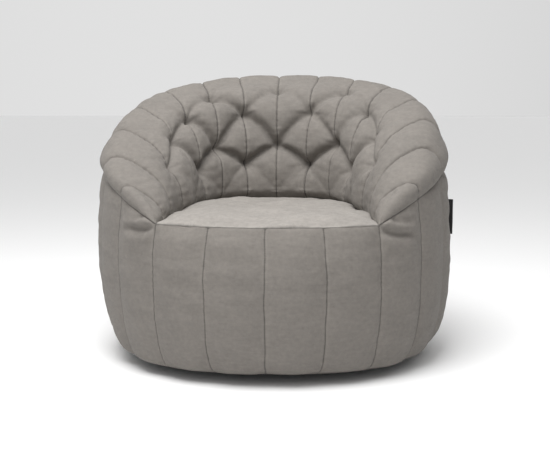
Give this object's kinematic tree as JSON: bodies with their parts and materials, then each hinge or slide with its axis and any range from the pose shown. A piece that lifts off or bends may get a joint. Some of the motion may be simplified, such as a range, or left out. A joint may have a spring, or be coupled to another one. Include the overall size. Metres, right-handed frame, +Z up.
{
  "type": "bean bag chair",
  "caption": "Round bean bag armchair with a gored base, a crowned seat and a tufted, padded back that wraps round into the arms.",
  "frame": {"origin": "middle of the underside, on the floor", "axes": "the chair faces -Y, +X is on the right of someone looking at its front, +Z up"},
  "size_m": [0.9691, 0.9329, 0.7625],
  "materials": {
    "cover_cloth": "matt, soft nap",
    "underside_cloth": "plain weave",
    "zip_tape": "plain weave",
    "zip_plastic": "moulded",
    "label_cloth": "woven ribbon",
    "liner_cloth": "thin plain weave",
    "polystyrene_beads": "loose beads"
  },
  "bodies": {
    "chair": {"base_gore_01": "cover_cloth", "base_gore_02": "cover_cloth", "base_gore_03": "cover_cloth", "base_gore_04": "cover_cloth", "base_gore_05": "cover_cloth", "base_gore_06": "cover_cloth", "base_gore_07": "cover_cloth", "base_gore_08": "cover_cloth", "base_gore_09": "cover_cloth", "base_gore_10": "cover_cloth", "base_gore_11": "cover_cloth", "base_gore_12": "cover_cloth", "base_gore_13": "cover_cloth", "base_gore_14": "cover_cloth", "base_gore_15": "cover_cloth", "base_gore_16": "cover_cloth", "base_gore_17": "cover_cloth", "base_gore_18": "cover_cloth", "base_gore_19": "cover_cloth", "base_gore_20": "cover_cloth", "backrest_gore_01": "cover_cloth", "backrest_gore_02": "cover_cloth", "backrest_gore_03": "cover_cloth", "backrest_gore_04": "cover_cloth", "backrest_gore_05": "cover_cloth", "backrest_gore_06": "cover_cloth", "backrest_gore_07": "cover_cloth", "backrest_gore_08": "cover_cloth", "backrest_gore_09": "cover_cloth", "backrest_gore_10": "cover_cloth", "backrest_gore_11": "cover_cloth", "backrest_gore_12": "cover_cloth", "backrest_gore_13": "cover_cloth", "backrest_gore_14": "cover_cloth", "backrest_gore_15": "cover_cloth", "backrest_gore_16": "cover_cloth", "seat_panel": "cover_cloth", "underside_panel_right": "underside_cloth", "underside_panel_left": "underside_cloth", "zip_tape_right": "zip_tape", "zip_tape_left": "zip_tape", "zip_chain_right": "zip_plastic", "zip_chain_left": "zip_plastic", "zip_stop_front": "zip_plastic", "zip_stop_back": "zip_plastic", "side_label": "label_cloth", "divider_panel": "liner_cloth", "base_liner": "liner_cloth", "base_liner_flap": "liner_cloth", "backrest_liner": "liner_cloth", "backrest_liner_flap": "liner_cloth", "base_bead_fill": "polystyrene_beads", "backrest_bead_fill": "polystyrene_beads"},
    "slider": {"zip_slider": "zip_plastic"}
  },
  "joints": [
    {"name": "zip_slide", "type": "slide", "parent": "chair", "child": "slider", "axis": [0, 1, 0], "range_m": [0, 0.42]}
  ]
}
